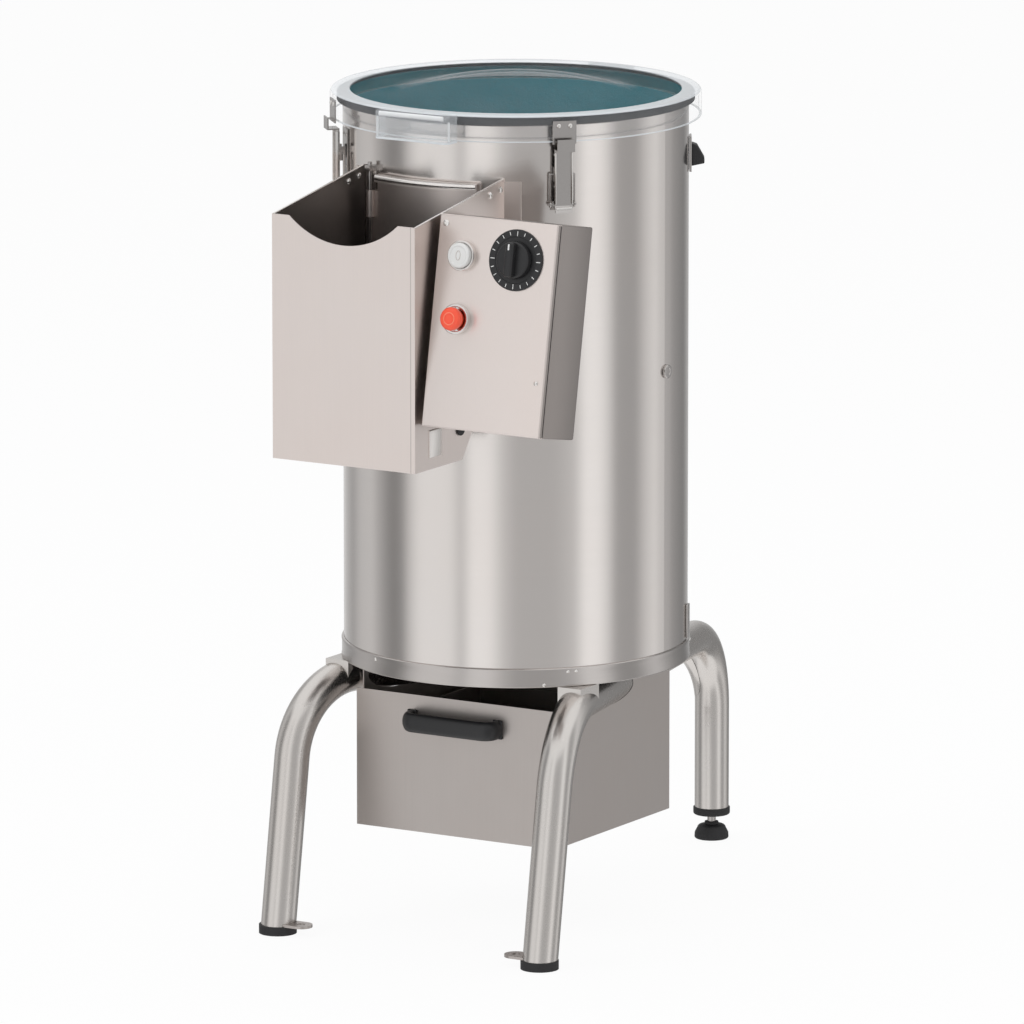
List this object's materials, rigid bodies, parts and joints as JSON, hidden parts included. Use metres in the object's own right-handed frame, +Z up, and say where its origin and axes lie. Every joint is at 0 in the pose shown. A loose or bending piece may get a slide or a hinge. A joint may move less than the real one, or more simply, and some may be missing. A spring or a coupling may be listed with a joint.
{
  "type": "industrial potato peeler",
  "caption": "Stainless drum potato peeler with clear hinged lid, front outlet chute, tilted control box, filter drawer and a tubular tripod stand.",
  "frame": {"origin": "on the floor, under the drum's axis", "axes": "+Z up along the drum's axis, -Y to the front where the outlet chute is, +X to the right seen from the front"},
  "size_m": [0.4584, 0.829, 0.965],
  "materials": {
    "drum_steel": "vertically brushed stainless",
    "sheet_steel": "satin stainless sheet",
    "tube_steel": "satin stainless tube",
    "fittings_steel": "bright stainless fittings",
    "dark_steel": "black shadowed base",
    "liner": "teal abrasive-backed liner",
    "abrasive": "grit-coated disc",
    "motor_paint": "painted motor",
    "clear_plastic": "clear moulded plastic",
    "seal_rubber": "soft seal",
    "black_plastic": "black moulded plastic",
    "black_rubber": "black rubber",
    "white_plastic": "white button cap",
    "red_plastic": "red button cap"
  },
  "bodies": {
    "machine": {"drum_shell": "drum_steel", "base_flange": "drum_steel", "base_plate": "dark_steel", "chamber_floor": "sheet_steel", "abrasive_liner": "liner", "motor": "motor_paint", "lid_hinge_bracket": "fittings_steel", "lid_hinge_pin": "fittings_steel", "latch_base_left": "fittings_steel", "latch_base_right": "fittings_steel", "door_hinge_post": "fittings_steel", "chute": "sheet_steel", "chute_flange_left": "sheet_steel", "chute_flange_right": "sheet_steel", "control_box": "sheet_steel", "control_box_spacers": "fittings_steel", "timer_dial": "black_plastic", "start_bezel": "fittings_steel", "stop_bezel": "fittings_steel", "lid_switch": "black_plastic", "side_plug": "fittings_steel", "stand_tube_right": "tube_steel", "stand_tube_left": "tube_steel", "foot_plug_left": "black_rubber", "foot_plug_right": "black_rubber", "anchor_plate_left": "sheet_steel", "anchor_plate_right": "sheet_steel", "rear_tube_cap": "black_rubber", "rear_foot_stem": "fittings_steel", "rear_foot_pad": "black_rubber", "saddle_front_left": "dark_steel", "saddle_front_right": "dark_steel", "saddle_rear_left": "dark_steel", "saddle_rear_right": "dark_steel", "housing_side_left": "sheet_steel", "housing_side_right": "sheet_steel", "housing_back": "sheet_steel"},
    "lid": {"lid": "clear_plastic", "lid_gasket": "seal_rubber", "lid_grip": "clear_plastic", "lid_hinge_leaf": "fittings_steel", "lid_catch_left": "fittings_steel", "lid_catch_right": "fittings_steel"},
    "left_latch": {"latch_bail_left": "fittings_steel", "latch_lever_left": "fittings_steel"},
    "right_latch": {"latch_bail_right": "fittings_steel", "latch_lever_right": "fittings_steel"},
    "door": {"outlet_door": "sheet_steel"},
    "disc": {"abrasive_disc": "abrasive", "disc_shaft": "fittings_steel"},
    "timer": {"timer_knob": "black_plastic"},
    "start": {"start_button": "white_plastic"},
    "stop": {"stop_button": "red_plastic"},
    "drawer": {"drawer_tray": "sheet_steel", "drawer_front": "sheet_steel", "drawer_handle": "black_plastic"}
  },
  "joints": [
    {"name": "lid_hinge", "type": "hinge", "parent": "machine", "child": "lid", "pos_m": [0, 0.2224, 0.918], "axis": [-1, 0, 0], "range_deg": [0, 95]},
    {"name": "left_latch_swing", "type": "hinge", "parent": "machine", "child": "left_latch", "pos_m": [-0.14459, -0.13963, 0.849], "axis": [0.6947, -0.7193, 0], "range_deg": [0, 70]},
    {"name": "right_latch_swing", "type": "hinge", "parent": "machine", "child": "right_latch", "pos_m": [0.14459, -0.13963, 0.849], "axis": [0.6947, 0.7193, 0], "range_deg": [0, 70]},
    {"name": "door_swing", "type": "hinge", "parent": "machine", "child": "door", "pos_m": [-0.07854, -0.18502, 0.78], "axis": [0, 0, -1], "range_deg": [0, 70]},
    {"name": "disc_spin", "type": "hinge", "parent": "machine", "child": "disc", "pos_m": [0, 0, 0.7], "axis": [0, 0, 1], "continuous": true},
    {"name": "timer_turn", "type": "hinge", "parent": "machine", "child": "timer", "pos_m": [0.199, -0.328, 0.81847], "axis": [0, 0.9842, -0.1771], "range_deg": [0, 300]},
    {"name": "start_press", "type": "slide", "parent": "machine", "child": "start", "axis": [0, 0.9842, -0.1771], "range_m": [0, 0.003], "stiffness_N_per_m": 300},
    {"name": "stop_press", "type": "slide", "parent": "machine", "child": "stop", "axis": [0, 0.9842, -0.1771], "range_m": [0, 0.003], "stiffness_N_per_m": 300},
    {"name": "drawer_slide", "type": "slide", "parent": "machine", "child": "drawer", "axis": [0, -1, 0], "range_m": [0, 0.23]}
  ]
}
